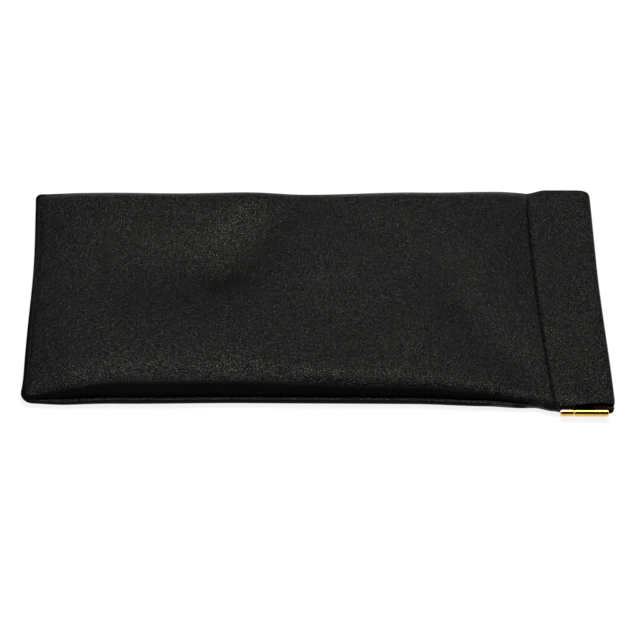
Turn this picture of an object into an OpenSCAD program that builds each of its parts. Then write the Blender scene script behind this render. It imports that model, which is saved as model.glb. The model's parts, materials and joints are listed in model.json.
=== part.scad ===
// Soft squeeze-top glasses pouch: a sewn leather sleeve held shut by a spring frame in its mouth.
// The pouch lies on its back. +X runs from the bottom seam to the mouth, -Y is the near side and
// +Z is up. The origin is the middle of the footprint, on the surface that the pouch lies on.
// All sizes are in millimetres.

/* [Pouch] */
// Length from the bottom edge to the mouth edge
pouch_length = 180; // [165:1:195]
// Width over the sewn sides
body_width = 83; // [78:0.5:84]
// Thickness of the empty pouch at its fullest
body_height = 7.5; // [6.5:0.5:10]
// Width over which the front rolls down to its side seams
front_roll = 6; // [4:0.5:7]
// Length over which the front rolls down to the bottom seam
front_end_roll = 14; // [8:1:20]

/* [Leather, lining and thread] */
// Thickness of the leather
leather = 0.6; // [0.5:0.05:0.7]
// Thickness of the lining
lining = 0.3; // [0.2:0.05:0.4]
// Width of the seam allowance turned inside
seam_allowance = 5; // [4:0.5:7]
// Diameter of the sewing thread
thread = 0.35; // [0.3:0.05:0.4]
// Length of one stitch
stitch_pitch = 3.2; // [2.6:0.1:4]

/* [Mouth] */
// Width of the leather across the mouth
mouth_width = 84.4; // [84.2:0.2:88]
// Distance from the mouth edge to the stitch line under the channel
hem_depth = 19; // [18:0.5:24]
// Clear height of the channel that holds the spring frame
channel_height = 0.9; // [0.9:0.05:1.3]

/* [Spring frame] */
// Distance from the mouth edge to the middle of the spring frame
frame_depth = 8.6; // [8.2:0.1:9.4]
// Width of the spring strip
strip_width = 14; // [11:0.5:14]
// Thickness of the spring strip
strip_thickness = 0.3; // [0.2:0.05:0.3]
// Outer diameter of the hinge barrel
barrel_diameter = 2.3; // [2.2:0.1:2.5]
// Diameter of the hinge pin
pin_diameter = 1.1; // [1:0.05:1.2]
// Length of the folded cap that grips the strip
cap_length = 8; // [6:0.5:12]

/* [Hidden] */
$fn = 48;

// Gaps between pieces that touch on the real pouch
half_gap = 0.1;
slip = 0.05;
// Overrun of a cutting solid past the face that it cuts
cut = 1;

// Along the pouch
bottom_x = -pouch_length / 2;
mouth_x = pouch_length / 2;
stitch_x = mouth_x - hem_depth;
land_half = 1;
land_x = stitch_x - land_half;
taper_length = 25;
seam_inset = 2.7;
corner_radius = 3;

// Rows of stitches. The groove is as wide as the needle holes
row_margin = 1;
side_row = land_x - row_margin - bottom_x - seam_allowance;
side_row_middle = bottom_x + seam_allowance + side_row / 2;
bottom_row = body_width - 2 * seam_allowance;
hem_row = body_width - 2 * seam_inset;
groove = thread + 2 * slip;

// Heights above the seam plane, where front and back meet
mouth_rise = 2 * leather + channel_height;
seam_height = mouth_rise + half_gap;
front_rise = body_height - seam_height - half_gap;
back_roll = 2.5;
back_end_roll = 3;

// The hinge barrels, one at each end of the spring frame. The middle knuckle lies close to the outer
// knuckle on the mouth side, which leaves a wider gap on its other side
frame_x = mouth_x - frame_depth;
barrel_radius = barrel_diameter / 2;
barrel_clearance = 0.15;
pin_clearance = 0.04;
bore_radius = pin_diameter / 2 + pin_clearance;
pin_y = mouth_width / 2 + barrel_clearance + barrel_radius;
outer_knuckle = 3.6;
middle_knuckle = 6.3;
wide_gap = 0.4;
narrow_gap = 0.1;
barrel_length = 2 * outer_knuckle + wide_gap + middle_knuckle + narrow_gap;
barrel_start = frame_x - barrel_length / 2;
head_rim = 0.35;
head_radius = pin_diameter / 2 + head_rim;
head_length = 0.25;
head_gap = 0.1;

// The caps that grip the strip. They start a strap's length in from the barrel
strap_length = 1.4;
cap_start = barrel_radius + strap_length;
cap_side_margin = 0.2;
web = 0.5;
lip = 0.2;
cap_z = half_gap + leather + slip;
cap_height = 2 * lip + 2 * slip + strip_thickness;
boss_radius = 0.8;
boss_spread = strip_width / 4;
boss_depth = 4.2;

// The spring strip, inside the caps
strip_z = cap_z + lip + slip;
strip_end = cap_start + web + 2 * slip;

black = [0.07, 0.07, 0.07];
charcoal = [0.16, 0.16, 0.17];
gold = [0.83, 0.62, 0.25];
steel = [0.62, 0.62, 0.64];

// Points of an elliptical arc from one angle to another
function arc(centre, radii, from, to, steps = 10) = [
    for (i = [0:steps])
        let (a = from + (to - from) * i / steps)
            [centre[0] + radii[0] * cos(a), centre[1] + radii[1] * sin(a)]
];

// Points of a smooth step down from one height to another
function ease(x0, x1, z0, z1, steps = 10) = [
    for (i = [0:steps])
        let (u = i / steps)
            [x0 + (x1 - x0) * u, z0 + (z1 - z0) * (1 - cos(180 * u)) / 2]
];

// Moves a section drawn in Y and Z so that it runs along X
module run_along_x(from, to) {
    translate([from, 0, 0]) rotate([90, 0, 90]) linear_extrude(to - from) children();
}

// Moves a section drawn in X and Z so that it runs along Y, about the middle
module run_along_y(width) {
    rotate([90, 0, 0]) linear_extrude(width, center = true) children();
}

// Puts a piece drawn above the seam plane on the front half of the pouch
module on_front() {
    translate([0, 0, seam_height]) children();
}

// Puts the same piece on the back half
module on_back() {
    translate([0, 0, seam_height]) mirror([0, 0, 1]) children();
}

// The solid under a panel's outer face, brought in by inset, as far as end_x
module pillow(rise, roll, end_roll, inset, end_x) {
    half = body_width / 2 - inset;
    top = rise - inset;
    side = [roll - inset, top];
    tip = [end_roll - inset, top];
    round = corner_radius - inset;
    corner = [bottom_x + corner_radius, body_width / 2 - corner_radius];
    intersection() {
        run_along_x(bottom_x, mouth_x) polygon(concat(
            [[-half, -cut]],
            arc([-half + side[0], 0], side, 180, 90),
            arc([half - side[0], 0], side, 90, 0),
            [[half, -cut]]
        ));
        run_along_y(body_width) polygon(concat(
            [[bottom_x + inset, -cut]],
            arc([bottom_x + end_roll, 0], tip, 180, 90),
            ease(land_x - taper_length, land_x, top, mouth_rise - inset),
            [[end_x, mouth_rise - inset], [end_x, -cut]]
        ));
        translate([0, 0, -cut]) linear_extrude(rise + 2 * cut) polygon(concat(
            [[end_x, -half], [end_x, half]],
            arc(corner, [round, round], 90, 180),
            arc([corner[0], -corner[1]], [round, round], 180, 270)
        ));
    }
}

// Keeps the part of a piece that lies above a height and, if a depth is given, within it
module keep_above(height, depth = body_height) {
    intersection() {
        children();
        translate([bottom_x, -body_width / 2, height]) cube([pouch_length, body_width, depth]);
    }
}

// The turned hem at the mouth: outer layer, fold and inner layer around an open-ended channel
module hem() {
    fold = mouth_rise / 2;
    fold_x = mouth_x - fold;
    inner = fold - leather;
    run_along_y(mouth_width) difference() {
        polygon(concat([[land_x, 0]], arc([fold_x, fold], [fold, fold], -90, 90), [[land_x, mouth_rise]]));
        polygon(concat(
            [[stitch_x + land_half, leather]],
            arc([fold_x, fold], [inner, inner], -90, 90),
            [[stitch_x + land_half, mouth_rise - leather]]
        ));
    }
}

// The turned-in seam allowance along both sides and the bottom
module allowance(rise, roll, end_roll) {
    width = body_width - 2 * seam_allowance;
    difference() {
        keep_above(0, leather) pillow(rise, roll, end_roll, 0, land_x);
        translate([bottom_x + seam_allowance, -width / 2, -cut])
            cube([pouch_length, width, leather + 2 * cut]);
    }
}

// Puts a row that is drawn along X onto the seam allowance of one side. side is -1 near, 1 far
module on_side_row(side) {
    translate([side_row_middle, side * (body_width / 2 - seam_inset), half_gap + leather]) children();
}

// Puts a row onto the seam allowance at the bottom
module on_bottom_row() {
    translate([bottom_x + seam_inset, 0, half_gap + leather]) rotate([0, 0, 90]) children();
}

// Puts a row into the groove in the outer face of the hem, or into the one in its inner face
module on_hem_row(outer) {
    middle = mouth_rise / 2;
    turn = outer ? 0 : 180;
    translate([stitch_x, 0, half_gap + middle]) rotate([turn, 0, 0])
        translate([0, 0, middle - groove]) rotate([0, 0, 90]) children();
}

// Places of the needle holes along a row, measured from its middle
function hole_places(length) =
    let (count = floor(length / stitch_pitch))
        [for (i = [0:count]) (i - count / 2) * stitch_pitch];

// The needle holes of a row, drilled down from the face that the row lies on
module needle_holes(length, depth) {
    for (x = hole_places(length)) translate([x - groove / 2, -groove / 2, -depth - cut])
        cube([groove, groove, depth + 2 * cut]);
}

// The groove that a row of stitches pulls into the hem
module stitch_groove(length) {
    run = length + 2 * thread;
    translate([-run / 2, -groove / 2, 0]) cube([run, groove, groove + cut]);
}

// One continuous thread: it lies along the face and dips to the given depth at each needle hole
module thread_row(length, depth) {
    places = hole_places(length);
    half = thread / 2;
    legs = [
        for (x = places)
            each [[x - half, slip], [x - half, -depth], [x + half, -depth], [x + half, slip]]
    ];
    end = places[len(places) - 1] + half;
    run_along_y(thread) polygon(concat(legs, [[end, slip + thread], [-end, slip + thread]]));
}

// One outer panel, drawn above the seam plane
module panel(rise, roll, end_roll) {
    difference() {
        translate([0, 0, half_gap]) {
            keep_above(0) difference() {
                pillow(rise, roll, end_roll, 0, land_x);
                pillow(rise, roll, end_roll, leather, land_x + cut);
            }
            allowance(rise, roll, end_roll);
            hem();
        }
        for (side = [-1, 1]) on_side_row(side) needle_holes(side_row, leather);
        on_bottom_row() needle_holes(bottom_row, leather);
        on_hem_row(true) needle_holes(hem_row, mouth_rise);
        for (outer = [true, false]) on_hem_row(outer) stitch_groove(hem_row);
    }
}

// One lining, which lies inside a panel, on its seam allowance, and stops at the hem
module lining_sheet(rise, roll, end_roll) {
    outer = leather + half_gap;
    translate([0, 0, half_gap]) keep_above(outer) difference() {
        pillow(rise, roll, end_roll, outer, land_x - half_gap);
        pillow(rise, roll, end_roll, outer + lining, land_x + cut);
    }
}

module side_thread(side) {
    on_side_row(side) thread_row(side_row, leather - slip);
}

module bottom_thread() {
    on_bottom_row() thread_row(bottom_row, leather - slip);
}

module hem_thread(outer) {
    on_hem_row(outer) thread_row(hem_row, mouth_rise / 2 - groove - slip);
}

// One spring strip, with the holes that the caps' bosses lock into
module spring_strip() {
    half = pin_y - strip_end;
    translate([0, 0, strip_z]) difference() {
        translate([frame_x - strip_width / 2, -half, 0]) cube([strip_width, 2 * half, strip_thickness]);
        for (side = [-1, 1], end = [-1, 1])
            translate([frame_x + side * boss_spread, end * (pin_y - cap_start - boss_depth), -cut])
                cylinder(r = boss_radius + 2 * slip, h = strip_thickness + 2 * cut);
    }
}

// The folded cap on one end of a strip: two lips, a web and bosses through the strip
module cap_sleeve() {
    width = strip_width + 2 * cap_side_margin;
    from = -pin_y + cap_start;
    translate([frame_x - width / 2, from, cap_z]) {
        cube([width, cap_length, lip]);
        cube([width, web, cap_height]);
        translate([0, 0, cap_height - lip]) cube([width, cap_length, lip]);
    }
    for (side = [-1, 1]) translate([frame_x + side * boss_spread, from + boss_depth, cap_z])
        cylinder(r = boss_radius, h = cap_height);
}

// A near-side hinge cap whose knuckles fill the given stretches of the barrel
module hinge_cap(knuckles) {
    difference() {
        union() {
            cap_sleeve();
            for (k = knuckles) {
                translate([k[0], -pin_y, 0]) rotate([0, 90, 0])
                    cylinder(r = barrel_radius, h = k[1] - k[0]);
                translate([k[0], -pin_y, cap_z])
                    cube([k[1] - k[0], cap_start + web, barrel_radius - cap_z]);
            }
        }
        translate([barrel_start - cut, -pin_y, 0]) rotate([0, 90, 0])
            cylinder(r = bore_radius, h = barrel_length + 2 * cut);
    }
}

// The front cap carries the two outer knuckles and the back cap the middle one
module front_cap() {
    last = barrel_start + barrel_length;
    hinge_cap([[barrel_start, barrel_start + outer_knuckle], [last - outer_knuckle, last]]);
}

module back_cap() {
    first = barrel_start + outer_knuckle + wide_gap;
    hinge_cap([[first, first + middle_knuckle]]);
}

// A hinge pin with a peened head at each end. side is -1 near, 1 far
module hinge_pin(side) {
    reach = barrel_length / 2 + head_gap;
    translate([frame_x, side * pin_y, seam_height]) rotate([0, 90, 0]) {
        cylinder(d = pin_diameter, h = 2 * reach, center = true);
        for (end = [-1, 1]) translate([0, 0, end * (reach + head_length / 2)])
            cylinder(r = head_radius, h = head_length, center = true);
    }
}

module front_panel() {
    color(black) on_front() panel(front_rise, front_roll, front_end_roll);
}

module back_panel() {
    color(black) on_back() panel(mouth_rise, back_roll, back_end_roll);
}

module front_lining() {
    color(charcoal) on_front() lining_sheet(front_rise, front_roll, front_end_roll);
}

module back_lining() {
    color(charcoal) on_back() lining_sheet(mouth_rise, back_roll, back_end_roll);
}

module front_hem_needle_thread() {
    color(black) on_front() hem_thread(true);
}

module front_hem_bobbin_thread() {
    color(black) on_front() hem_thread(false);
}

module back_hem_needle_thread() {
    color(black) on_back() hem_thread(true);
}

module back_hem_bobbin_thread() {
    color(black) on_back() hem_thread(false);
}

module near_seam_needle_thread() {
    color(black) on_front() side_thread(-1);
}

module near_seam_bobbin_thread() {
    color(black) on_back() side_thread(-1);
}

module far_seam_needle_thread() {
    color(black) on_front() side_thread(1);
}

module far_seam_bobbin_thread() {
    color(black) on_back() side_thread(1);
}

module bottom_seam_needle_thread() {
    color(black) on_front() bottom_thread();
}

module bottom_seam_bobbin_thread() {
    color(black) on_back() bottom_thread();
}

module front_spring_strip() {
    color(steel) on_front() spring_strip();
}

module back_spring_strip() {
    color(steel) on_back() spring_strip();
}

module near_front_hinge_cap() {
    color(gold) on_front() front_cap();
}

module near_back_hinge_cap() {
    color(gold) on_back() back_cap();
}

module far_front_hinge_cap() {
    color(gold) on_front() mirror([0, 1, 0]) front_cap();
}

module far_back_hinge_cap() {
    color(gold) on_back() mirror([0, 1, 0]) back_cap();
}

module near_hinge_pin() {
    color(gold) hinge_pin(-1);
}

module far_hinge_pin() {
    color(gold) hinge_pin(1);
}

front_panel();
back_panel();
front_lining();
back_lining();
front_hem_needle_thread();
front_hem_bobbin_thread();
back_hem_needle_thread();
back_hem_bobbin_thread();
near_seam_needle_thread();
near_seam_bobbin_thread();
far_seam_needle_thread();
far_seam_bobbin_thread();
bottom_seam_needle_thread();
bottom_seam_bobbin_thread();
front_spring_strip();
back_spring_strip();
near_front_hinge_cap();
near_back_hinge_cap();
far_front_hinge_cap();
far_back_hinge_cap();
near_hinge_pin();
far_hinge_pin();
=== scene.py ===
"""A soft squeeze-top glasses pouch: sewn leather, lining, thread and a sprung brass hinge frame."""

import json
import math

import bmesh
import bpy
from mathutils import Euler, Matrix, Vector, noise
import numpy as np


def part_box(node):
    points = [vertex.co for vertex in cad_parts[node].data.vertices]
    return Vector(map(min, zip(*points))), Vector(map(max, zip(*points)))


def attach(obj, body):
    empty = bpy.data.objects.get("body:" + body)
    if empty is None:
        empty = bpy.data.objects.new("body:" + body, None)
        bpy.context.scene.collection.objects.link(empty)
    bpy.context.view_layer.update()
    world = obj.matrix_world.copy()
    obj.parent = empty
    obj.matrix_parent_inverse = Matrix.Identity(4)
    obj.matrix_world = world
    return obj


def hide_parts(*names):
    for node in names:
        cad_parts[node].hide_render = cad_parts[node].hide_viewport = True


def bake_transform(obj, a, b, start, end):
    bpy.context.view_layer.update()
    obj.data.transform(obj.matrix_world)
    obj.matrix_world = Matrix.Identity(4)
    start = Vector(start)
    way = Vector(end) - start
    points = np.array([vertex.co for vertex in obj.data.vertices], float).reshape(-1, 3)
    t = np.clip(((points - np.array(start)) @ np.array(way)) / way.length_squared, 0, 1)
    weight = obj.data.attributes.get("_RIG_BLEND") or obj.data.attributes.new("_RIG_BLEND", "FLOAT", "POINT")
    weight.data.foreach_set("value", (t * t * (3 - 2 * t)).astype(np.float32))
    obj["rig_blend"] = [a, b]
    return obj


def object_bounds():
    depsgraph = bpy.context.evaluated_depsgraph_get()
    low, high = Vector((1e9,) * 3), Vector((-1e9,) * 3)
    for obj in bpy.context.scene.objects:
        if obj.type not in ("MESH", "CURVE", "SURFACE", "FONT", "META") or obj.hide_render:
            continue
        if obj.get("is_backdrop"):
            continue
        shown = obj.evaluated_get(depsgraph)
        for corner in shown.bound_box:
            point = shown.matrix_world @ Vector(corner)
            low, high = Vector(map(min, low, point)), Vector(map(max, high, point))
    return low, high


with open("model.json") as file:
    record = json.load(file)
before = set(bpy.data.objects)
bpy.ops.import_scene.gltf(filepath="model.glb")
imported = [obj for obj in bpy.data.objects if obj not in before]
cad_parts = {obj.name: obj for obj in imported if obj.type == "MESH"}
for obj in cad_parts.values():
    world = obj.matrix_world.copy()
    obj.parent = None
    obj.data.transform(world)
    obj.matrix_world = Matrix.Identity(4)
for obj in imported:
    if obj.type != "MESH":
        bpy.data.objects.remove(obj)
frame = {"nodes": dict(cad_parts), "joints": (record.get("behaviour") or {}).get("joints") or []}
cad_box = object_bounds()

# One millimetre in the frame's metres. Sizes below are in millimetres unless a comment says otherwise.
MM = 0.001

# The two sides of the pouch, as the sign of y
NEAR, FAR = -1, 1

# Places that the CAD fixes
pouch_low, pouch_high = (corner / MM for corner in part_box("back_panel"))
near_pin_low, near_pin_high = (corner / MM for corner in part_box("near_hinge_pin"))
PIN_Y = abs(near_pin_low.y + near_pin_high.y) / 2
PIN_Z = (near_pin_low.z + near_pin_high.z) / 2
FRAME_X = (near_pin_low.x + near_pin_high.x) / 2
BOTTOM_X = pouch_low.x
MOUTH_X = pouch_high.x
HINGE_X = frame["joints"][0]["pos_m"][0] / MM

# Thicknesses, and half the gap between the two panels at a seam
LEATHER = 0.6
LINING = 0.3
STRIP = 0.3
SEAM_GAP = 0.06

# Where the hem is stitched, where its channel has opened out to full height, and the corners' radii
HEM_X = 69.0
CHANNEL_END_X = {NEAR: 77.0, FAR: 75.0}
BOTTOM_CORNER = {NEAR: 3.2, FAR: 1.8}
MOUTH_CORNER = {NEAR: 1.2, FAR: 3.0}

# Half width of each sewn side, as (distance along the pouch, half width)
SIDE = {
    NEAR: [(-90, 40.5), (-62, 39.4), (-20, 38.8), (30, 38.7), (50, 39.3), (62, 40.8), (70, 43.0)],
    FAR: [(-90, 41.8), (-50, 41.5), (0, 41.9), (35, 42.4), (64, 44.2), (76, 44.0)],
}

# The hem stitches run off square: how far at the near side, where the run starts, and how it bends
STITCH_SHIFT = 3.6
STITCH_SHIFT_FROM = 42
STITCH_SHIFT_POWER = 2.2
# The mouth edge beyond square at the far and at the near side, and where it turns from one to the other
MOUTH_FAR = -0.4
MOUTH_NEAR = 1.0
MOUTH_TURN = (-14, 44)
# The bottom edge is drawn in (depth, middle and half width) and stands out at the near corner
BOTTOM_IN = (0.95, 12, 24)
BOTTOM_OUT = 0.6
BOTTOM_OUT_TURN = (31, 42)
# Stretches along the pouch over which those runs come in or die out
STITCH_RUN_IN = (40, 66)
STITCH_RUN_OUT = (77, 88)
MOUTH_RUN = (72, 88)
BOTTOM_RUN = (-88, -55)

# How far the sewn sides rise off the table, as (distance along the pouch, height)
SEAM_LIFT = [(-90, 0.0), (-60, 0.45), (30, 0.5), (68, 0.0)]


def smooth(value, low, high):
    """0 below low, 1 above high, and an even step between them."""
    t = min(max((value - low) / (high - low), 0.0), 1.0)
    return t * t * (3 - 2 * t)


def bell(distance, width):
    """1 at no distance, falling evenly to almost nothing at twice the width."""
    return math.exp(-((distance / width) ** 2))


def through(points, x):
    """The height at x of a smooth line through a few (x, height) points."""
    if x <= points[0][0]:
        return points[0][1]
    for (xa, ya), (xb, yb) in zip(points, points[1:]):
        if x <= xb:
            return ya + (yb - ya) * smooth(x, xa, xb)
    return points[-1][1]


def side_of(y):
    """Which side of the pouch a place is on."""
    return NEAR if y < 0 else FAR


def cut_corner(inside, radius):
    """How much a round corner takes off the width at a distance inside the end."""
    short = min(max(radius - inside, 0.0), radius)
    return radius - math.sqrt(radius**2 - short**2)


def half_width(x, side):
    """Distance of the sewn edge from the middle, with the rounded corner at the bottom."""
    return through(SIDE[side], x) - cut_corner(x - BOTTOM_X, BOTTOM_CORNER[side])


def stitch_shift(y):
    """How far the hem stitches run off square, towards the mouth at the near side."""
    share = max((STITCH_SHIFT_FROM - y) / (2 * STITCH_SHIFT_FROM), 0.0)
    return STITCH_SHIFT * share**STITCH_SHIFT_POWER


def mouth_wave(y):
    """The mouth edge runs slightly off square: short at the far side and long at the near side."""
    return MOUTH_FAR + (MOUTH_NEAR - MOUTH_FAR) * smooth(-y, *MOUTH_TURN)


def bottom_wave(y):
    """The bottom edge is drawn in a little beyond its middle and out at the near corner."""
    depth, middle, half = BOTTOM_IN
    return depth * bell(y - middle, half) - BOTTOM_OUT * smooth(-y, *BOTTOM_OUT_TURN)


def hem_follow(x, y):
    """Moves a nominal place along the pouch so that its ends and its hem run as they were sewn."""
    share = smooth(x, *STITCH_RUN_IN) * (1 - smooth(x, *STITCH_RUN_OUT))
    ends = mouth_wave(y) * smooth(x, *MOUTH_RUN) + bottom_wave(y) * (1 - smooth(x, *BOTTOM_RUN))
    return x + stitch_shift(y) * share + ends


def seam_lift(x):
    """The sewn sides rise a little off the table between the corners."""
    return through(SEAM_LIFT, x)


# Rise of the front over the seam at the near and at the far side, as (distance along the pouch, rise)
NEAR_RISE = [(-90, 3.1), (-58, 4.7), (-15, 4.9), (22, 4.7), (70, 2.2)]
FAR_RISE = [(-90, 3.0), (-60, 4.0), (0, 4.3), (40, 4.5), (80, 2.2)]
RISE_TURN = (-30, 30)
# The rise of the hem, where the body's rise passes into it, and how uneven the hem is and from where
HEM_RISE = PIN_Z
HEM_BLEND = (60, 71)
HEM_WAVE = 0.14
HEM_WAVE_SIZE = (8, 10)
HEM_WAVE_SEED = 5.2
HEM_WAVE_FROM = (70, 74)

# Soft humps of the resting front, and hollows where the height is negative:
# height, middle, the two radii, and their turn in degrees
FRONT_HUMPS = [
    (-2.2, (-40, 8), (36, 17), 4),
    (1.0, (-20, 43), (14, 12), 0),
    (0.9, (1, 13), (12, 15), 0),
    (-1.2, (3, 36), (13, 13), 0),
    (-0.8, (9, -12), (22, 13), 0),
    (0.5, (30, 34), (26, 16), 8),
    (1.0, (30, -15), (10, 11), 0),
    (0.4, (2, -32), (15, 6), 0),
]
# Long valleys of the resting front: depth, the points they run through, and half width
FRONT_VALLEYS = [
    (1.3, [(-29, 10), (-16, 26), (-6, 38)], 8),
    (0.75, [(42, 8), (50, -16), (62, -28), (73, -36)], 7.5),
]
# Fine unevenness of the front: height, its size along and across, and its seed
FRONT_UNEVEN = [(0.16, (22, 14), 3.1), (0.07, (8, 6), 8.4)]
# Where the front's humps and hollows die out before the hem
FRONT_CALM = (65, 71)


def hump(x, y, middle, radii, turn):
    """A soft round hump, 1 at its middle, with its two radii along a turned pair of axes."""
    dx, dy = x - middle[0], y - middle[1]
    c, s = math.cos(math.radians(turn)), math.sin(math.radians(turn))
    along, across = (dx * c + dy * s) / radii[0], (-dx * s + dy * c) / radii[1]
    return math.exp(-along * along - across * across)


def ridge(x, y, points, width):
    """A soft ridge, 1 high, along a line through a few points."""
    place = Vector((x, y))
    nearest = math.inf
    for start, end in zip(points, points[1:]):
        along = Vector(end) - Vector(start)
        share = min(max((place - Vector(start)).dot(along) / along.length_squared, 0.0), 1.0)
        nearest = min(nearest, (place - Vector(start) - along * share).length)
    return bell(nearest, width)


def uneven(x, y, size, seed):
    """Smooth random height between -1 and 1, the same on each run."""
    return noise.noise(Vector((x / size[0], y / size[1], seed)))


def front_swell(x, y):
    """The soft hollows and humps of the resting front."""
    swell = sum(height * hump(x, y, middle, radii, turn) for height, middle, radii, turn in FRONT_HUMPS)
    swell -= sum(depth * ridge(x, y, points, width) for depth, points, width in FRONT_VALLEYS)
    swell += sum(height * uneven(x, y, size, seed) for height, size, seed in FRONT_UNEVEN)
    return swell * (1 - smooth(x, *FRONT_CALM))


def front_rise(x, y):
    """Height of the front over the seam plane, away from its edges."""
    near, far = through(NEAR_RISE, x), through(FAR_RISE, x)
    return near + (far - near) * smooth(y, *RISE_TURN) + front_swell(x, y)


def back_rise(x, y):
    """Depth of the back under the seam plane, away from its edges: it lies on the table."""
    return PIN_Z + seam_lift(x)


def rolled(distance, radius, fullness):
    """Share of the full rise at a distance in from a rolled edge.

    A fullness of 1 is a straight ramp, 2 is a round quarter, and more is squarer."""
    if distance >= radius:
        return 1.0
    return (1 - (1 - distance / radius) ** fullness) ** (1 / fullness)


# Fullness of the roll along the bottom end
END_FULLNESS = 1.5
# Where the free ends of the hem channel flare out from the sewn width
FLARE = (68, 84)
# Distance from one needle hole to the next
STITCH = 3.5
# How the hem stitches pinch the leather, as (depth, half width): two creases, and a pucker at each hole
SHARP_CREASE = (0.22, 0.4)
SOFT_CREASE = (0.16, 2.6)
PUCKER = (0.14, 1.1)


class Shell:
    """One leather panel: how high it rises, how it rolls at its edges, and which way it faces.

    facing is 1 for the front and -1 for the back. side_roll gives, for each side, the roll's radius along
    the pouch. reach gives, for each side, how far the folded edge stands past the seam line, and flare how
    much wider the hem's free end is."""

    def __init__(self, rise, facing, fullness, end_roll, side_roll, reach, flare):
        self.rise = rise
        self.facing = facing
        self.fullness = fullness
        self.end_roll = end_roll
        self.side_roll = side_roll
        self.reach = reach
        self.flare = flare

    def half(self, x, side):
        """Half width of this panel: its folded edge, and past the hem stitches the channel's free end."""
        width = half_width(x, side) + through(self.reach[side], x) + self.flare[side] * smooth(x, *FLARE)
        return width - cut_corner(MOUTH_X - x, MOUTH_CORNER[side])

    def edge_share(self, x, y):
        """Share of the full rise that the rolled side edge has reached at a place."""
        side = side_of(y)
        distance = max(self.half(x, side) - abs(y), 0.0)
        return rolled(distance, through(self.side_roll[side], x), self.fullness)

    def height(self, x, y):
        """Height of the outer face over the seam plane at a nominal place, before the stitches pinch it."""
        edge = self.edge_share(x, y)
        edge += (1 - edge) * smooth(x, HEM_X, CHANNEL_END_X[side_of(y)])
        end = rolled(max(x - BOTTOM_X, 0.0), self.end_roll, END_FULLNESS)
        rise = self.rise(x, y)
        rise += (HEM_RISE - rise) * smooth(x, *HEM_BLEND)
        rise += HEM_WAVE * uneven(x, y, HEM_WAVE_SIZE, HEM_WAVE_SEED) * smooth(x, *HEM_WAVE_FROM)
        return rise * edge * end

    def pinch(self, x, y):
        """How far the hem stitches pull the leather down, deeper at each needle hole."""
        sharp, soft, pucker = (
            depth * bell(x - HEM_X, width) for depth, width in (SHARP_CREASE, SOFT_CREASE, PUCKER)
        )
        hole = 0.5 + 0.5 * math.cos(2 * math.pi * y / STITCH)
        return sharp + soft + pucker * hole

    def place(self, x, y, height):
        """A point of the panel in metres."""
        return Vector((x, y, PIN_Z + seam_lift(x) + self.facing * height)) * MM


FRONT = Shell(
    front_rise,
    facing=1,
    fullness=2.1,
    end_roll=14.0,
    side_roll={NEAR: [(-88, 5.0), (-60, 16.0), (-25, 15.0), (12, 8.5), (60, 5.0)], FAR: [(0, 5.5)]},
    reach={NEAR: [(0, -0.25)], FAR: [(0, 0.0)]},
    flare={NEAR: -1.5, FAR: 0.1},
)
# The back lies flatter than the front, so its near edge stays wider
BACK = Shell(
    back_rise,
    facing=-1,
    fullness=2.3,
    end_roll=4.0,
    side_roll={NEAR: [(0, 1.0)], FAR: [(0, 2.6)]},
    reach={NEAR: [(-88, 0.2), (-75, 1.2), (50, 1.2), (70, -0.4)], FAR: [(0, 0.0)]},
    flare={NEAR: -0.4, FAR: -0.7},
)

# Columns of a panel's mesh: distances in from each sewn edge, and how many steps between them
ROLL_STEPS = [0, 0.12, 0.35, 0.7, 1.2, 1.8, 2.5, 3.3, 4.3, 5.6, 7.2, 9.2]
MIDDLE_COLUMNS = 44
# Rows of a panel's mesh: distances in from the bottom, then the gap to the next row, which holds up to a
# distance from the hem stitches, and where the mouth's fold takes over
BOTTOM_STEPS = [0, 0.1, 0.3, 0.7, 1.2, 1.9, 2.6, 3.4, 4.4, 5.6, 7.0]
ROW_GAPS = [(1.6, 0.35), (6, 0.8), (math.inf, 1.7)]
FOLD_ROOM = 3
# The lip that turns under at a sewn edge, as (distance in, height over the seam gap)
LIP_STEPS = [(0.10, -0.03), (0.5, -0.05), (1.5, -0.05)]
# Length over which the bottom lip would taper to a point
LIP_TAPER = 60
# The stitches pinch the leather from here on
PINCH_FROM = 55
# The fold at the mouth, and the turned hem inside it: its half width stops short of the hinge barrels
FOLD_STEPS = 8
INNER_HALF = 41.8
INNER_GAP = 1.3
INNER_PAST_STITCHES = 2.5
# The side lips end this far before the hem stitches
LIP_END = 1


def across(shell, x):
    """Places of the columns across a panel at one station, near to far."""
    near, far = shell.half(x, NEAR), shell.half(x, FAR)
    deepest = ROLL_STEPS[-1]
    left = [-near + step for step in ROLL_STEPS]
    right = [far - step for step in reversed(ROLL_STEPS)]
    start, stop = -near + deepest, far - deepest
    middle = [start + (stop - start) * i / MIDDLE_COLUMNS for i in range(1, MIDDLE_COLUMNS)]
    return left + middle + right


def stations():
    """Places of the rows along the pouch: close at the bottom and at the hem stitches."""
    places = [BOTTOM_X + step for step in BOTTOM_STEPS]
    x = places[-1]
    while x < MOUTH_X - FOLD_ROOM:
        x += next(gap for reach, gap in ROW_GAPS if abs(x - HEM_X) < reach)
        places.append(x)
    return places


def bottom_lip_rows(shell):
    """Rows of the lip that turns under along the bottom, from its inner edge out."""
    columns = across(shell, BOTTOM_X)
    rows = []
    for inset, lift in reversed(LIP_STEPS):
        x = BOTTOM_X + inset
        taper = 1 - inset / LIP_TAPER
        rows.append([shell.place(hem_follow(x, y), y * taper, SEAM_GAP + lift) for y in columns])
    return rows


def body_rows(shell):
    """Rows of the panel's outer face, pinched at the hem stitches."""
    rows = []
    for x in stations():
        row = []
        for y in across(shell, x):
            pinch = shell.pinch(x, y) * (x > PINCH_FROM)
            height = SEAM_GAP + max(shell.height(x, y) - SEAM_GAP - pinch, 0.0)
            row.append(shell.place(hem_follow(x, y), y, height))
        rows.append(row)
    return rows


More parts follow.
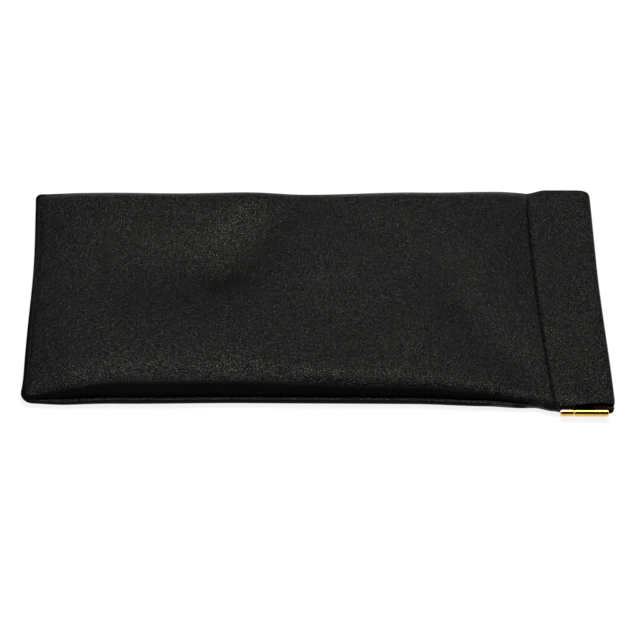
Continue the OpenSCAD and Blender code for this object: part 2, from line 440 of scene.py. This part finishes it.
def hem_rows(shell):
    """Rows of the round fold at the mouth, and of the hem that runs back inside it past the stitches."""
    radius = (HEM_RISE - SEAM_GAP) / 2
    fold_x = MOUTH_X - radius
    edge = across(shell, fold_x)
    inner = [y * INNER_HALF / abs(edge[0 if y < 0 else -1]) for y in edge]
    rows = []
    for step in range(FOLD_STEPS + 1):
        angle = math.pi * (0.5 - step / FOLD_STEPS)
        x = fold_x + radius * math.cos(angle)
        height = SEAM_GAP + radius + radius * math.sin(angle)
        share = smooth(step, FOLD_STEPS / 2, FOLD_STEPS)
        fold = [outer + (turned - outer) * share for outer, turned in zip(across(shell, x), inner)]
        rows.append([shell.place(x + mouth_wave(y), y, height) for y in fold])
    x = fold_x
    while x > HEM_X - INNER_PAST_STITCHES:
        x -= INNER_GAP
        rows.append([shell.place(hem_follow(x, y), y, SEAM_GAP) for y in inner])
    return rows


def new_object(name, bm):
    """Turns a built mesh into a smooth object that remembers its resting shape in millimetres."""
    mesh = bpy.data.meshes.new(name)
    bm.to_mesh(mesh)
    bm.free()
    rest = mesh.attributes.new("rest_mm", "FLOAT_VECTOR", "POINT")
    for vertex, value in zip(mesh.vertices, rest.data):
        value.vector = vertex.co / MM
    for face in mesh.polygons:
        face.use_smooth = True
    obj = bpy.data.objects.new(name, mesh)
    bpy.context.scene.collection.objects.link(obj)
    return obj


def lip_strips(bm, verts, lips):
    """Pairs of neighbouring lines of vertices that carry on from the sheet's two sides as its lips."""
    strips = []
    for side in (0, -1):
        lines = []
        for row, lip in zip(verts, lips):
            turned = [bm.verts.new(point) for point in lip[side]] if lip else None
            lines.append(turned and [row[side]] + turned)
        for a, b in zip(lines, lines[1:]):
            if a and b:
                strips.append((a, b) if side == -1 else (b, a))
    return strips


def grid_mesh(name, rows, flip=False, lips=None):
    """A sheet mesh from rows of points. lips gives, for each row, the points that turn under each side."""
    bm = bmesh.new()
    verts = [[bm.verts.new(point) for point in row] for row in rows]
    strips = list(zip(verts, verts[1:]))
    if lips:
        strips += lip_strips(bm, verts, lips)
    for a, b in strips:
        for j in range(len(a) - 1):
            quad = (a[j], b[j], b[j + 1], a[j + 1])
            bm.faces.new(reversed(quad) if flip else quad)
    return new_object(name, bm)


def thicken(obj, thickness):
    """Gives a sheet its thickness on the side away from its normals, and rounds it."""
    solid = obj.modifiers.new("thickness", "SOLIDIFY")
    solid.thickness = thickness * MM
    solid.offset = -1
    smoother = obj.modifiers.new("round", "SUBSURF")
    smoother.levels = 1
    smoother.render_levels = 1
    return obj


# What counts as the outer face by its height over the seam plane, and the distance that the inner face gets
OUTER_FACE = 0.8
FAR_AWAY = 9.0
# The turned edge gets painted shade, dark and dull, up to this share of the rise, up to this far in from the
# bottom, and not in the hem
TURNED_SHARE = (0.56, 0.78)
TURNED_END = (0.8, 2.2)
TURNED_HEM = (HEM_X, HEM_X + 6)


def mark_stitches(obj, shell):
    """Stores, at each point, how far it is from the hem stitches, how far along them, and how far it has
    turned under at a sewn edge, as a share. The leather's painted shade is drawn from these."""
    seam = obj.data.attributes.new("seam", "FLOAT_VECTOR", "POINT")
    for vertex, value in zip(obj.data.vertices, seam.data):
        x, y, z = vertex.co / MM
        outside = shell.facing * (z - PIN_Z) > OUTER_FACE
        away = x - hem_follow(HEM_X, y) if outside else FAR_AWAY
        side_turn = 1 - smooth(shell.edge_share(x, y), *TURNED_SHARE)
        end_turn = 1 - smooth(x - BOTTOM_X, *TURNED_END)
        turned = max(side_turn, end_turn) * (1 - smooth(x, *TURNED_HEM))
        value.vector = (away, y, turned)


def side_lips(shell, x):
    """The points that turn under each side at one station, or None where the hem's sides are open."""
    if x > HEM_X - LIP_END:
        return None
    sides = []
    for side in (NEAR, FAR):
        edge = side * shell.half(x, side)
        along = hem_follow(x, edge)
        sides.append([shell.place(along, edge - side * inset, SEAM_GAP + lift) for inset, lift in LIP_STEPS])
    return sides


def leather_panel(name, shell):
    """One leather panel with its rolled edges, its turned-under lips and its hem."""
    bottom, hem = bottom_lip_rows(shell), hem_rows(shell)
    lips = [None] * len(bottom) + [side_lips(shell, x) for x in stations()] + [None] * len(hem)
    rows = bottom + body_rows(shell) + hem
    obj = grid_mesh(name, rows, flip=shell.facing < 0, lips=lips)
    mark_stitches(obj, shell)
    return thicken(bend(obj, shell.facing), LEATHER)


# The lining: how far it hangs under the leather's outer face, its room over the turned allowances, its
# columns as distances in from each side, its rows' gaps near the bottom and beyond, and where it ends
LINING_DROP = LEATHER + 0.12
LINING_FLOOR = SEAM_GAP + LEATHER + 0.15
LINING_INSETS = [1.9, 2.6, 3.4, 4.4, 6.0, 8.5]
LINING_COLUMNS = 30
LINING_GAP_AT_BOTTOM = 0.9
LINING_GAP = 2.4
LINING_BOTTOM = 10
LINING_END_X = HEM_X + 0.5


def lining_sheet(name, shell):
    """The lining of one panel: it lies inside the leather, on the allowances, and ends under the hem."""
    deepest = LINING_INSETS[-1]
    rows = []
    x = BOTTOM_X + LINING_INSETS[0]
    while x < LINING_END_X:
        near, far = half_width(x, NEAR), half_width(x, FAR)
        start, stop = -near + deepest, far - deepest
        line = [-near + inset for inset in LINING_INSETS]
        line += [start + (stop - start) * i / LINING_COLUMNS for i in range(1, LINING_COLUMNS)]
        line += [far - inset for inset in reversed(LINING_INSETS)]
        row = []
        for y in line:
            height = max(shell.height(x, y) - LINING_DROP, LINING_FLOOR)
            row.append(shell.place(hem_follow(x, y), y, height))
        rows.append(row)
        x += LINING_GAP_AT_BOTTOM if x < BOTTOM_X + LINING_BOTTOM else LINING_GAP
    return grid_mesh(name, rows, flip=shell.facing < 0)


# How many steps a spring strip's mesh has across its width and along its length
STRIP_STEPS = 6
STRIP_LENGTH_STEPS = 60


def strip_sheet(name, node):
    """A spring strip: a flat band across the channel, its face at the CAD strip's face."""
    low, high = (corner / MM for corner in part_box(node))
    upper = low.z > PIN_Z
    level = high.z if upper else low.z
    rows = []
    for i in range(STRIP_STEPS + 1):
        x = low.x + (high.x - low.x) * i / STRIP_STEPS
        places = [low.y + (high.y - low.y) * j / STRIP_LENGTH_STEPS for j in range(STRIP_LENGTH_STEPS + 1)]
        rows.append([Vector((x, y, level)) * MM for y in places])
    return grid_mesh(name, rows, flip=not upper)


def tube(name, points, radius, sides=8):
    """A thread of even thickness along a line of points, with closed ends."""
    bm = bmesh.new()
    rings = []
    for i, point in enumerate(points):
        before, after = points[max(i - 1, 0)], points[min(i + 1, len(points) - 1)]
        turn = (after - before).to_track_quat("Z", "Y")
        ring = []
        for k in range(sides):
            angle = 2 * math.pi * k / sides
            out = Vector((math.cos(angle), math.sin(angle), 0))
            ring.append(bm.verts.new(point + turn @ out * radius))
        rings.append(ring)
    for a, b in zip(rings, rings[1:]):
        for k in range(sides):
            bm.faces.new((a[k], a[(k + 1) % sides], b[(k + 1) % sides], b[k]))
    bm.faces.new(reversed(rings[0]))
    bm.faces.new(rings[-1])
    return new_object(name, bm)


# Height of a stitch over the leather along its length, from one needle hole to the next
STITCH_SHAPE = [(0.0, -0.45), (0.1, -0.1), (0.22, 0.12), (0.5, 0.17), (0.78, 0.12), (0.9, -0.1)]
# Radius of the thread
THREAD = 0.16
# Each row's length, and where it starts along y, from the bottom edge, and along y again
HEM_ROW = (78, -38.5)
SIDE_ROW = (152, BOTTOM_X + 5)
BOTTOM_ROW = (72, -35)
# How far in from the sewn edge a row lies, its height over the allowance, and how deep a stitch may dip
ROW_INSET = 1.5
ROW_HEIGHT = 0.25
ROW_DIP = -0.2
# On the hem's inner face the bobbin thread lies this far over the seam gap, at this share of its height
BOBBIN_HEIGHT = 0.5
BOBBIN_SHARE = 0.5


def stitched(name, row, place):
    """A row of stitches of one thread. place(along, lift) gives a point of the row in metres."""
    length, start = row
    points = []
    for i in range(int(length / STITCH)):
        for share, lift in STITCH_SHAPE:
            points.append(place(start + (i + share) * STITCH, lift))
    return tube(name, points, THREAD * MM)


def hem_row(shell, outer):
    """Places along the hem: on the outer face in the pinched groove, or on the inner face."""

    def place(y, lift):
        if outer:
            height = shell.height(HEM_X, y) - shell.pinch(HEM_X, y) + lift
        else:
            height = SEAM_GAP + BOBBIN_HEIGHT - max(lift, 0) * BOBBIN_SHARE
        return shell.place(hem_follow(HEM_X, y), y, height)

    return place


def on_allowance(shell, x, y, lift):
    """A stitch's place on the inner face of the turned allowance."""
    return shell.place(hem_follow(x, y), y, SEAM_GAP + LEATHER + ROW_HEIGHT + max(lift, ROW_DIP))


def side_row(shell, side):
    """Places along one side seam."""
    return lambda x, lift: on_allowance(shell, x, side * (half_width(x, side) - ROW_INSET), lift)


def bottom_row(shell):
    """Places along the bottom seam."""
    return lambda y, lift: on_allowance(shell, BOTTOM_X + ROW_INSET, y, lift)


# The stitched allowance along a side seam, which stays shut, and where the opening widens to the pins
SEWN = 2.0
WIDEN = (68, 76)


def arch(x, y):
    """How far the mouth opens at a place, as a share: 1 in the middle and 0 at the seams or pins."""
    seam = half_width(x, side_of(y)) - SEWN
    span = seam + (PIN_Y - seam) * smooth(x, *WIDEN)
    return max(math.cos(math.pi / 2 * min(abs(y) / span, 1.0)), 0.0)


def puller(name, body):
    """An empty that moves across the pouch as far as a hinge pin does, and no other way."""
    anchor = bpy.data.objects.new(name + "_anchor", None)
    follower = bpy.data.objects.new(name, None)
    for empty in (anchor, follower):
        bpy.context.scene.collection.objects.link(empty)
    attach(anchor, body)
    copy = follower.constraints.new("COPY_LOCATION")
    copy.target = anchor
    copy.use_x = copy.use_z = False
    return follower


PULLERS = [puller("near_pull", "near_pin"), puller("far_pull", "far_pin")]


def bend(obj, facing):
    """The piece bows open with the mouth and its sides come in with the hinge pins.

    facing is 1 for the front, -1 for the back and 0 for a seam between them."""
    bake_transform(obj, "pouch_back", "pouch_front", start=(0, 0, 0), end=(0, 0, 1))
    follow = obj.data.attributes["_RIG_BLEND"].data
    groups = [obj.vertex_groups.new(name=name) for name in ("near", "far")]
    for vertex, weight in zip(obj.data.vertices, follow):
        x, y = vertex.co.x / MM, vertex.co.y / MM
        weight.value = 0.5 + 0.5 * facing * arch(x, y)
        outward = min(abs(y) / PIN_Y, 1.0)
        forward = min(max((x - HINGE_X) / (FRAME_X - HINGE_X), 0.0), 1.0)
        groups[0 if y < 0 else 1].add([vertex.index], outward * forward, "REPLACE")
    for group, follower in zip(groups, PULLERS):
        hook = obj.modifiers.new("pull_" + group.name, "HOOK")
        hook.object = follower
        hook.vertex_group = group.name
        hook.falloff_type = "NONE"
        hook.matrix_inverse = Matrix.Identity(4)
    return obj


class Nodes:
    """A short way to write a material's node tree."""

    def __init__(self, name):
        self.material = bpy.data.materials.new(name)
        self.material.use_nodes = True
        self.tree = self.material.node_tree
        self.shader = self.tree.nodes["Principled BSDF"]

    def add(self, kind, settings=None, **inputs):
        """A node with settings on itself and values or links on its inputs."""
        node = self.tree.nodes.new(kind)
        for key, value in (settings or {}).items():
            setattr(node, key, value)
        for key, value in inputs.items():
            self.put(node, key.replace("_", " "), value)
        return node

    def put(self, node, key, value):
        """Sets one input to a value, or links it from another node's first or named output."""
        socket = node.inputs[int(key)] if key.isdigit() else node.inputs[key]
        if isinstance(value, tuple) and isinstance(value[0], bpy.types.Node):
            self.tree.links.new(value[0].outputs[value[1]], socket)
        elif isinstance(value, bpy.types.Node):
            self.tree.links.new(value.outputs[0], socket)
        else:
            socket.default_value = value

    def finish(self, **inputs):
        """Sets the shader's inputs and hands over the material."""
        for key, value in inputs.items():
            self.put(self.shader, key.replace("_", " "), value)
        return self.material

    def place(self):
        """The resting place in millimetres, so that the grain stays on the leather as it bends."""
        return (self.add("ShaderNodeAttribute", {"attribute_name": "rest_mm"}), "Vector")

    def remap(self, value, low, high, to_low, to_high):
        """The value's stretch from low to high, laid over another stretch and held at its ends."""
        node = self.add("ShaderNodeMapRange", None, Value=value)
        for key, number in (("From Min", low), ("From Max", high), ("To Min", to_low), ("To Max", to_high)):
            node.inputs[key].default_value = number
        return node

    def math(self, operation, a, b):
        """A sum, product or other operation on two values."""
        node = self.add("ShaderNodeMath", {"operation": operation})
        self.put(node, "0", a)
        self.put(node, "1", b)
        return node

    def mix(self, share, a, b):
        """A colour between a and b."""
        node = self.add("ShaderNodeMix", {"data_type": "RGBA"})
        self.put(node, "0", share)
        self.put(node, "6", a)
        self.put(node, "7", b)
        return (node, 2)

    def bump(self, height, strength, distance):
        """Fine relief: the height's full step is the distance, in millimetres."""
        return self.add("ShaderNodeBump", None, Height=height, Strength=strength, Distance=distance * MM)


# Radius at which a needle hole's painted shade starts to fade and ends, and the same for the crease along
# the row
HOLE_EDGE = (0.2, 0.5)
CREASE_EDGE = (0.05, 0.35)
CREASE_SHARE = 0.45


def stitch_marks(m):
    """How far a point of the leather has turned under, and how sunk it is in the crease or a needle hole:
    the masks of the leather's painted shade.
    """
    marks = m.add("ShaderNodeAttribute", {"attribute_name": "seam"})
    seam = m.add("ShaderNodeSeparateXYZ", None, Vector=(marks, 1))
    away = m.math("ABSOLUTE", (seam, 0), 0.0)
    along = m.math("PINGPONG", (seam, 1), STITCH / 2)
    squares = m.math("ADD", m.math("POWER", away, 2.0), m.math("POWER", along, 2.0))
    hole = m.remap(m.math("SQRT", squares, 0.0), *HOLE_EDGE, 1.0, 0.0)
    crease = m.remap(away, *CREASE_EDGE, 1.0, 0.0)
    return (seam, 2), m.math("MAXIMUM", hole, m.math("MULTIPLY", crease, CREASE_SHARE))


def leather_material():
    """Black coated leather: fine uneven pebbles, soft creases, and painted shade in the needle holes, along
    the hem's crease and on the edges turned under.
    """
    m = Nodes("leather")
    place = m.place()
    drift = m.add("ShaderNodeTexNoise", None, Vector=place, Scale=0.9, Detail=3.0)
    offset = m.add("ShaderNodeVectorMath", {"operation": "SCALE"}, Scale=0.8)
    m.put(offset, "0", (drift, 1))
    bent = m.add("ShaderNodeVectorMath", {"operation": "ADD"})
    m.put(bent, "0", place)
    m.put(bent, "1", offset)
    pebbles = m.add("ShaderNodeTexVoronoi", {"feature": "DISTANCE_TO_EDGE"}, Vector=bent, Scale=1.3)
    fine = m.add("ShaderNodeTexVoronoi", {"feature": "F1"}, Vector=bent, Scale=2.6)
    creases = m.add("ShaderNodeTexNoise", None, Vector=place, Scale=0.3, Detail=6.0, Roughness=0.62)
    patches = m.add("ShaderNodeTexNoise", None, Vector=place, Scale=0.035, Detail=3.0)
    pebble = m.remap(pebbles, 0.0, 0.22, 0.0, 1.0)
    grain = m.math("MULTIPLY", pebble, m.remap(fine, 0.0, 0.6, 1.0, 0.5))
    turned, sunk = stitch_marks(m)
    painted_shade_and_dull = m.math("MAXIMUM", turned, sunk)

    soft = m.bump(creases, 0.4, 0.07)
    skin = m.bump(grain, 1.0, 0.12)
    m.put(skin, "Normal", soft)
    stitched_skin = m.bump(m.remap(sunk, 0.0, 1.0, 1.0, 0.0), 1.0, 0.22)
    m.put(stitched_skin, "Normal", skin)

    patch = m.remap(patches, 0.35, 0.65, 0.0, 1.0)
    tone = m.mix(patch, (0.0021, 0.0023, 0.0020, 1), (0.0034, 0.0036, 0.0031, 1))
    colour = m.mix(m.remap(pebble, 0.0, 1.0, 0.6, 0.0), tone, (0.0010, 0.0010, 0.0010, 1))
    # Painted shade: the leather goes near black on the edges turned under and in the hem's crease and needle
    # holes
    colour = m.mix(painted_shade_and_dull, colour, (0.0005, 0.0005, 0.0005, 1))
    rough = m.math("ADD", m.remap(creases, 0.3, 0.7, 0.25, 0.31), m.remap(pebble, 0.0, 1.0, 0.12, 0.0))
    rough = m.math("MAXIMUM", rough, painted_shade_and_dull)
    return m.finish(Base_Color=colour, Roughness=rough, Normal=stitched_skin, Specular_IOR_Level=0.16)


def lining_material():
    """Charcoal brushed cloth: short fibres over a fine weave."""
    m = Nodes("lining")
    place = m.place()
    weave = m.add("ShaderNodeTexWave", {"bands_direction": "X"}, Vector=place, Scale=1.3, Distortion=2.0)
    cross = m.add("ShaderNodeTexWave", {"bands_direction": "Y"}, Vector=place, Scale=1.3, Distortion=2.0)
    fibres = m.add("ShaderNodeTexNoise", None, Vector=place, Scale=3.5, Detail=8.0)
    relief = m.bump(m.math("ADD", m.math("MULTIPLY", weave, cross), fibres), 0.6, 0.12)
    colour = m.mix(fibres, (0.018, 0.018, 0.020, 1), (0.040, 0.040, 0.043, 1))
    return m.finish(Base_Color=colour, Roughness=0.92, Normal=relief, Sheen_Weight=0.35, Sheen_Roughness=0.5)


def thread_material():
    """Black twisted sewing thread with a slight gloss."""
    m = Nodes("thread")
    diagonal = {"bands_direction": "DIAGONAL"}
    twist = m.add("ShaderNodeTexWave", diagonal, Vector=m.place(), Scale=1.6, Distortion=1.2)
    colour = m.mix(twist, (0.004, 0.004, 0.004, 1), (0.016, 0.016, 0.016, 1))
    relief = m.bump(twist, 0.7, 0.06)
    return m.finish(Base_Color=colour, Roughness=0.6, Normal=relief, Specular_IOR_Level=0.15)


def steel_material():
    """Rolled spring steel, brushed along its length."""
    m = Nodes("strip")
    stretch = m.add("ShaderNodeMapping", None, Vector=m.place(), Scale=(6.0, 0.15, 6.0))
    lines = m.add("ShaderNodeTexNoise", None, Vector=stretch, Scale=1.0, Detail=5.0)
    colour = m.mix(lines, (0.32, 0.33, 0.34, 1), (0.55, 0.56, 0.57, 1))
    rough = m.remap(lines, 0.3, 0.7, 0.25, 0.45)
    return m.finish(Base_Color=colour, Metallic=1.0, Roughness=rough, Normal=m.bump(lines, 0.3, 0.02))


# The hinge brass gets painted shade, dark and dull, where the leather hem covers it: full up to the first
# distance inside the pins' line, and none from the second on
PAINTED_SHADE_FULL = 0.35
PAINTED_SHADE_NONE = 0.1


def brass_material():
    """Polished brass plate: faint drawing lines, duller patches, and painted shade, dark and dull, inside
    the channel under the leather.
    """
    m = Nodes("hinge")
    place = (m.add("ShaderNodeTexCoord"), "Object")
    stretch = m.add("ShaderNodeMapping", None, Vector=place, Scale=(300.0, 5200.0, 5200.0))
    lines = m.add("ShaderNodeTexNoise", None, Vector=stretch, Scale=1.0, Detail=4.0)
    wear = m.add("ShaderNodeTexNoise", None, Vector=place, Scale=420.0, Detail=4.0)
    colour = m.mix(wear, (0.80, 0.41, 0.075, 1), (0.90, 0.54, 0.13, 1))
    rough = m.math("ADD", m.remap(lines, 0.3, 0.7, 0.07, 0.15), m.remap(wear, 0.45, 0.75, 0.0, 0.1))
    spot = m.add("ShaderNodeSeparateXYZ", None, Vector=place)
    outward = m.math("ABSOLUTE", (spot, "Y"), 0.0)
    # Painted shade: the brass inboard of the pins' line, under the leather's hem, is made near black and
    # dull
    inside = m.remap(outward, (PIN_Y - PAINTED_SHADE_FULL) * MM, (PIN_Y - PAINTED_SHADE_NONE) * MM, 1.0, 0.0)
    colour = m.mix(inside, colour, (0.016, 0.006, 0.003, 1))
    rough = m.math("MAXIMUM", rough, m.math("MULTIPLY", inside, 0.8))
    return m.finish(Base_Color=colour, Metallic=1.0, Roughness=rough, Normal=m.bump(lines, 0.1, 0.006))


def dress(obj, material, replaces):
    """Gives a piece its material and hides the CAD node that it stands for."""
    obj.data.materials.clear()
    obj.data.materials.append(material)
    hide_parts(replaces)
    return obj


def make_half(half, shell, leather, lining, steel):
    """One half's leather panel, its lining and its spring strip."""
    panel = leather_panel(half + "_leather", shell)
    dress(panel, leather, half + "_panel")
    cloth = lining_sheet(half + "_lining_cloth", shell)
    thicken(bend(cloth, shell.facing), LINING)
    dress(cloth, lining, half + "_lining")
    strip = strip_sheet(half + "_strip", half + "_spring_strip")
    thicken(bend(strip, shell.facing), STRIP)
    dress(strip, steel, half + "_spring_strip")


def make_threads(half, shell, thread):
    """Both threads of one half's hem, and the thread of each seam that shows on that half."""
    for kind in ("needle", "bobbin"):
        row = stitched(f"{half}_hem_{kind}", HEM_ROW, hem_row(shell, kind == "needle"))
        dress(bend(row, shell.facing), thread, f"{half}_hem_{kind}_thread")
    kind = "needle" if half == "front" else "bobbin"
    for name, side in (("near", NEAR), ("far", FAR)):
        row = stitched(f"{name}_seam_{kind}", SIDE_ROW, side_row(shell, side))
        dress(bend(row, 0), thread, f"{name}_seam_{kind}_thread")
    row = stitched(f"bottom_seam_{kind}", BOTTOM_ROW, bottom_row(shell))
    dress(bend(row, 0), thread, f"bottom_seam_{kind}_thread")


def make_soft_parts():
    """The leather, the lining, the strips and every thread, front and back."""
    leather, lining = leather_material(), lining_material()
    thread, steel = thread_material(), steel_material()
    for half, shell in (("front", FRONT), ("back", BACK)):
        make_half(half, shell, leather, lining, steel)
        make_threads(half, shell, thread)


# Width of the softened edges on the hinges, and the sharpest turn in degrees that counts as smooth
SOFT_EDGE = 0.09
SMOOTH_TURN = 35


def finish_hinges():
    """The CAD caps and pins stay: they get softened edges and the brass."""
    brass = brass_material()
    for name, node in frame["nodes"].items():
        if name.endswith(("_hinge_cap", "_hinge_pin")):
            node.data.materials.clear()
            node.data.materials.append(brass)
            edge = node.modifiers.new("soft_edges", "BEVEL")
            edge.width = SOFT_EDGE * MM
            edge.segments = 2
            edge.limit_method = "ANGLE"
            edge.angle_limit = math.radians(SMOOTH_TURN)


# The floor in metres: half size, where its rim starts to sweep up and how fast, and its drop under the pouch
FLOOR_HALF = 3.0
SWEEP_START = 2.0
SWEEP_RISE = 0.33
FLOOR_DROP = 0.0002
FLOOR_STEPS = 60
# The floor gives off most of the light that it shows, so that it stays white right up to the pouch
FLOOR_GLOW = 0.88
# The overhead soft box in metres and watts: place, the point it faces, size, power and tint
LAMP_PLACE = (0.0, 0.27, 0.85)
LAMP_TARGET = (0, 0.27, 0)
LAMP_SIZE = (0.5, 0.30)
LAMP_POWER = 7.2
LAMP_TINT = (0.98, 1.0, 0.92)
SURROUND_TINT = (1.0, 1.0, 0.98, 1)
SURROUND_LIGHT = 0.03


def floor_material():
    """Plain white, with tones too faint to see."""
    m = Nodes("floor")
    speckle = m.add("ShaderNodeTexNoise", None, Scale=3.0, Detail=2.0)
    tone = m.mix(speckle, (0.18, 0.18, 0.18, 1), (0.21, 0.21, 0.21, 1))
    m.finish(Base_Color=tone, Roughness=0.9, Specular_IOR_Level=0.0)
    return m.finish(Emission_Color=(1.0, 1.0, 1.0, 1), Emission_Strength=FLOOR_GLOW)


def make_floor():
    """A plain white floor that sweeps up far away, so that low views see no horizon."""
    bm = bmesh.new()
    bmesh.ops.create_grid(bm, x_segments=FLOOR_STEPS, y_segments=FLOOR_STEPS, size=FLOOR_HALF)
    for vertex in bm.verts:
        outside = max(abs(vertex.co.x), abs(vertex.co.y), SWEEP_START) - SWEEP_START
        vertex.co.z = SWEEP_RISE * outside**2
    floor = new_object("floor", bm)
    floor.location.z = -FLOOR_DROP
    floor.data.materials.append(floor_material())
    floor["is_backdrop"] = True


def make_lamp():
    """A soft box high over the far side."""
    data = bpy.data.lights.new("overhead", "AREA")
    data.shape = "RECTANGLE"
    data.size, data.size_y = LAMP_SIZE
    data.energy = LAMP_POWER
    data.color = LAMP_TINT
    lamp = bpy.data.objects.new("overhead", data)
    lamp.location = LAMP_PLACE
    aim = Vector(LAMP_TARGET) - Vector(LAMP_PLACE)
    lamp.rotation_euler = aim.to_track_quat("-Z", "Y").to_euler()
    bpy.context.scene.collection.objects.link(lamp)


def make_surround():
    """A faint even light from all around."""
    world = bpy.data.worlds.new("surround")
    bpy.context.scene.world = world
    world.use_nodes = True
    background = world.node_tree.nodes["Background"]
    background.inputs["Color"].default_value = SURROUND_TINT
    background.inputs["Strength"].default_value = SURROUND_LIGHT


# The camera: angles in degrees, lens and sensor in millimetres, distance and target in metres
CAMERA_ELEVATION = 52.1
CAMERA_AZIMUTH = -3.26
CAMERA_ROLL = 3.06
CAMERA_DISTANCE = 0.830
CAMERA_LENS = 149
CAMERA_SENSOR = 36
CAMERA_TARGET = Vector((1.3, -6.8, 0)) * MM


def make_camera():
    """A long lens that looks down on the near side, turned and rolled slightly."""
    up, round_z, roll = (math.radians(a) for a in (CAMERA_ELEVATION, CAMERA_AZIMUTH, CAMERA_ROLL))
    level = math.cos(up)
    back = Vector((math.sin(round_z) * level, -math.cos(round_z) * level, math.sin(up)))
    data = bpy.data.cameras.new("camera")
    data.lens = CAMERA_LENS
    data.sensor_width = CAMERA_SENSOR
    camera = bpy.data.objects.new("camera", data)
    camera.location = CAMERA_TARGET + back * CAMERA_DISTANCE
    camera.rotation_mode = "QUATERNION"
    aim = (-back).to_track_quat("-Z", "Y")
    camera.rotation_quaternion = aim @ Euler((0, 0, roll)).to_quaternion()
    bpy.context.scene.collection.objects.link(camera)
    bpy.context.scene.camera = camera


def write_sizes():
    """Puts the CAD box and the box of the finished model side by side, in a dictionary that is not kept."""
    boxes = {"cad": cad_box, "visual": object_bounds()}
    plain = {name: [list(corner) for corner in box] for name, box in boxes.items()}


make_camera()
make_soft_parts()
finish_hinges()
make_floor()
make_lamp()
make_surround()
bpy.context.scene.view_settings.view_transform = "Standard"
write_sizes()
